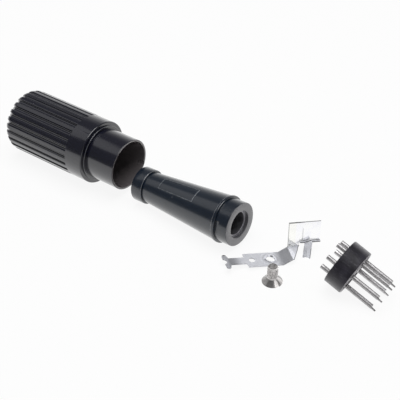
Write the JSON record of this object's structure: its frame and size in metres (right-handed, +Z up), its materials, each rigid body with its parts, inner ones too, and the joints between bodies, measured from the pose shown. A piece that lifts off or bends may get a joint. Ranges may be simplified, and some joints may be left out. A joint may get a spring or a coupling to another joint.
{
  "type": "din plug",
  "caption": "Round DIN cable plug taken apart: ribbed plastic shell, tapered cable sleeve, folded clamp bracket with its screw, and pin insert",
  "frame": {"origin": "middle of the layout seen from above, at the level of the table that all pieces lie on", "axes": "+X runs along the row of pieces, out of the shell's mouth towards the pin insert; +Y to the left of that; +Z up"},
  "size_m": [0.1084, 0.0208, 0.0164],
  "materials": {
    "shell_plastic": "gloss",
    "sleeve_plastic": "satin gloss",
    "bracket_steel": "plated, satin",
    "screw_steel": "nickel plated",
    "insert_plastic": "satin",
    "pin_metal": "bright plated"
  },
  "bodies": {
    "root": {"shell": "shell_plastic", "cable_sleeve": "sleeve_plastic", "bracket": "bracket_steel", "clamp_screw": "screw_steel", "insert_disc": "insert_plastic", "contact_pin_1": "pin_metal", "contact_pin_2": "pin_metal", "contact_pin_3": "pin_metal", "contact_pin_4": "pin_metal", "contact_pin_5": "pin_metal"}
  },
  "joints": []
}
